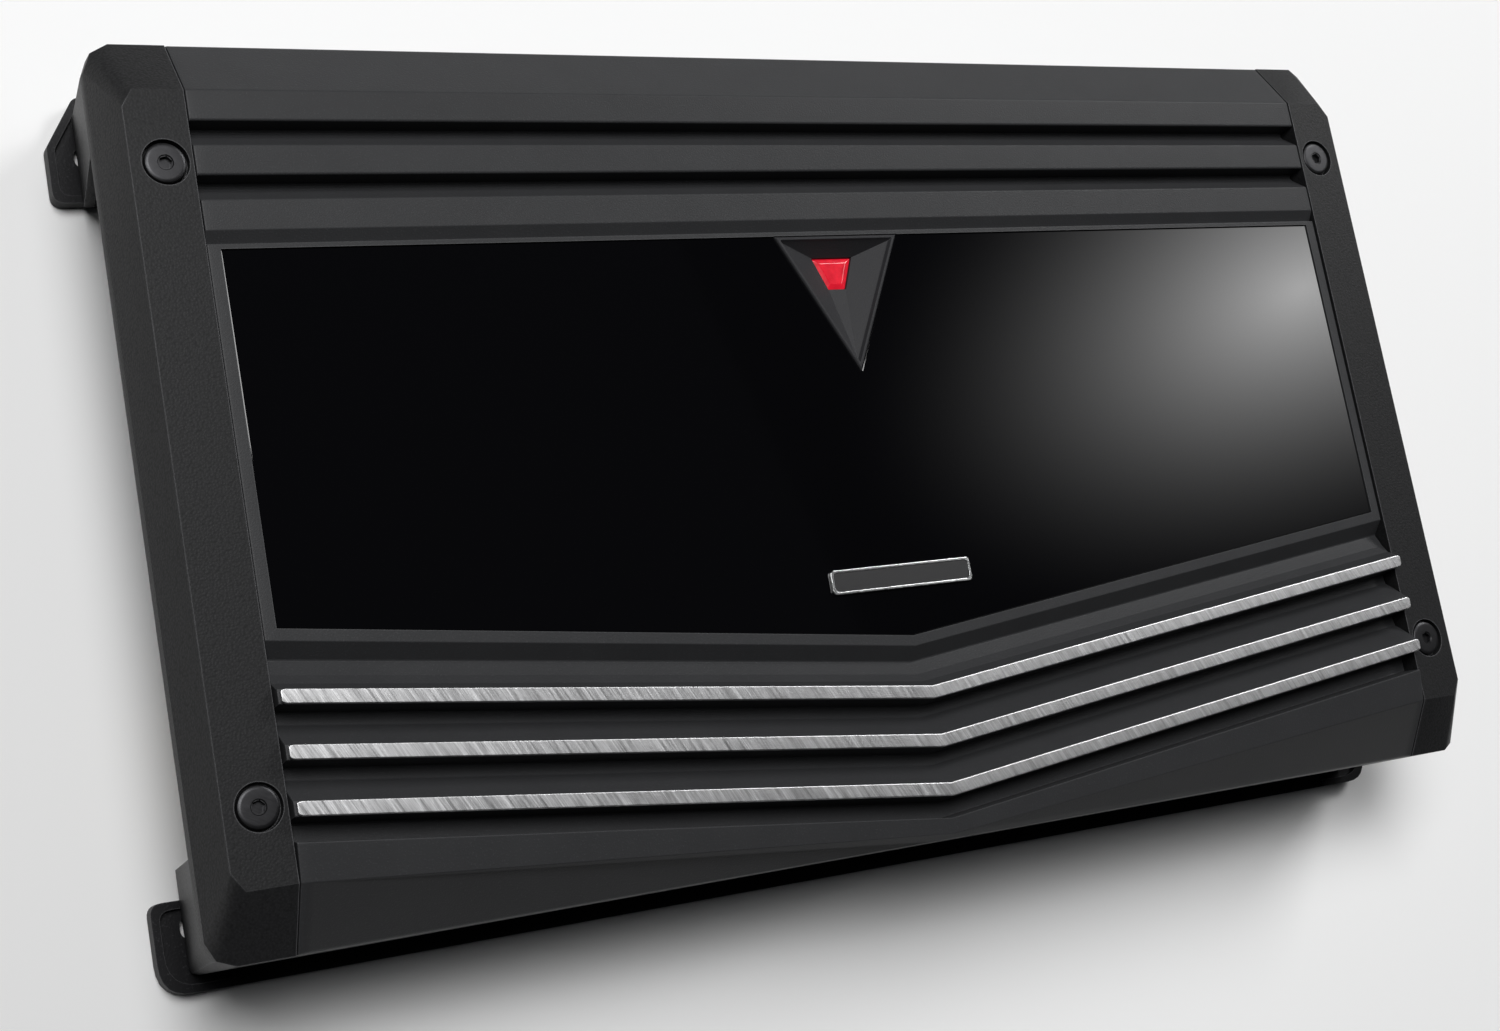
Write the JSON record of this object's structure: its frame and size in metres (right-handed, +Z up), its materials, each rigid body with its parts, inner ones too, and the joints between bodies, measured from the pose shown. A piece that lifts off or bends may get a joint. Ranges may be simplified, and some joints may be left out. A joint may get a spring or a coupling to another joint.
{
  "type": "car audio amplifier",
  "caption": "Ribbed cast case with a dark window, bright chevron trim strips and two end caps over the wiring ends, standing on slotted feet.",
  "frame": {"origin": "middle of the base plate's underside", "axes": "+X along the case to the power end, +Y from the ridged lip to the ribbed back, +Z up through the window"},
  "size_m": [0.3916, 0.2298, 0.062],
  "materials": {
    "powder_coat": "dark speckled powder coat",
    "brushed": "fine diagonal brush lines",
    "acrylic": "polished black acrylic",
    "grain": "moulded leather grain",
    "bezel": "fine moulded texture",
    "lens": "clear red",
    "black_screw": "black oxide",
    "black_steel": "black paint",
    "plate": "polished",
    "black_plastic": "satin moulded",
    "zinc": "zinc plated",
    "gold": "gold plated",
    "fuse_plastic": "tinted clear",
    "board": "green solder mask",
    "copper": "enamelled copper wire",
    "sleeve": "shrink sleeve"
  },
  "bodies": {
    "chassis": {"heat_sink": "powder_coat", "trim_strip_rear": "brushed", "trim_strip_middle": "brushed", "trim_strip_front": "brushed", "window_panel": "acrylic", "indicator_bezel": "bezel", "indicator_lens": "lens", "name_plate": "plate", "end_cap_right": "grain", "end_cap_left": "grain", "cap_screw_front_left": "black_screw", "cap_screw_front_right": "black_screw", "cap_screw_rear_left": "black_screw", "cap_screw_rear_right": "black_screw", "base_plate": "black_steel", "base_screw_front_left": "zinc", "base_screw_front_right": "zinc", "base_screw_rear_left": "zinc", "base_screw_rear_right": "zinc", "main_circuit_board": "board", "reservoir_capacitor_1": "sleeve", "reservoir_capacitor_2": "sleeve", "reservoir_capacitor_3": "sleeve", "power_transformer": "copper", "output_inductor": "copper", "power_transistor_1": "black_plastic", "power_transistor_2": "black_plastic", "power_transistor_3": "black_plastic", "power_transistor_4": "black_plastic", "transistor_clamp_bar": "zinc", "indicator_lamp_board": "board", "power_terminal_block": "black_plastic", "speaker_terminal_block": "black_plastic", "fuse_holder": "black_plastic", "power_panel": "black_steel", "gain_control": "black_plastic", "low_pass_control": "black_plastic", "bass_boost_control": "black_plastic", "phase_switch": "black_plastic", "filter_switch": "black_plastic", "line_input_block": "black_plastic", "line_input_socket_right": "gold", "line_input_socket_left": "gold", "remote_control_jack": "black_plastic", "control_panel": "black_steel"},
    "ground_terminal_screw": {"ground_terminal_screw": "gold"},
    "remote_terminal_screw": {"remote_terminal_screw": "gold"},
    "battery_terminal_screw": {"battery_terminal_screw": "gold"},
    "speaker_negative_screw": {"speaker_negative_screw": "gold"},
    "speaker_positive_screw": {"speaker_positive_screw": "gold"},
    "blade_fuse_1": {"blade_fuse_1": "fuse_plastic"},
    "blade_fuse_2": {"blade_fuse_2": "fuse_plastic"},
    "blade_fuse_3": {"blade_fuse_3": "fuse_plastic"},
    "gain_knob": {"gain_knob": "black_plastic"},
    "low_pass_knob": {"low_pass_knob": "black_plastic"},
    "bass_boost_knob": {"bass_boost_knob": "black_plastic"},
    "phase_switch_lever": {"phase_switch_lever": "plate"},
    "filter_switch_lever": {"filter_switch_lever": "plate"}
  },
  "joints": [
    {"name": "ground_terminal_screw_travel", "type": "slide", "parent": "chassis", "child": "ground_terminal_screw", "axis": [1, 0, 0], "range_m": [0, 0.004]},
    {"name": "remote_terminal_screw_travel", "type": "slide", "parent": "chassis", "child": "remote_terminal_screw", "axis": [1, 0, 0], "range_m": [0, 0.004]},
    {"name": "battery_terminal_screw_travel", "type": "slide", "parent": "chassis", "child": "battery_terminal_screw", "axis": [1, 0, 0], "range_m": [0, 0.004]},
    {"name": "speaker_negative_screw_travel", "type": "slide", "parent": "chassis", "child": "speaker_negative_screw", "axis": [1, 0, 0], "range_m": [0, 0.004]},
    {"name": "speaker_positive_screw_travel", "type": "slide", "parent": "chassis", "child": "speaker_positive_screw", "axis": [1, 0, 0], "range_m": [0, 0.004]},
    {"name": "blade_fuse_1_pull", "type": "slide", "parent": "chassis", "child": "blade_fuse_1", "axis": [1, 0, 0], "range_m": [0, 0.012]},
    {"name": "blade_fuse_2_pull", "type": "slide", "parent": "chassis", "child": "blade_fuse_2", "axis": [1, 0, 0], "range_m": [0, 0.012]},
    {"name": "blade_fuse_3_pull", "type": "slide", "parent": "chassis", "child": "blade_fuse_3", "axis": [1, 0, 0], "range_m": [0, 0.012]},
    {"name": "gain_knob_turn", "type": "hinge", "parent": "chassis", "child": "gain_knob", "pos_m": [-0.18, -0.02775, 0.0206], "axis": [-1, 0, 0], "range_deg": [-150, 150]},
    {"name": "low_pass_knob_turn", "type": "hinge", "parent": "chassis", "child": "low_pass_knob", "pos_m": [-0.18, -0.00887, 0.0206], "axis": [-1, 0, 0], "range_deg": [-150, 150]},
    {"name": "bass_boost_knob_turn", "type": "hinge", "parent": "chassis", "child": "bass_boost_knob", "pos_m": [-0.18, 0.01, 0.0206], "axis": [-1, 0, 0], "range_deg": [-150, 150]},
    {"name": "phase_switch_lever_slide", "type": "slide", "parent": "chassis", "child": "phase_switch_lever", "axis": [0, 1, 0], "range_m": [0, 0.004]},
    {"name": "filter_switch_lever_slide", "type": "slide", "parent": "chassis", "child": "filter_switch_lever", "axis": [0, 1, 0], "range_m": [0, 0.004]}
  ]
}
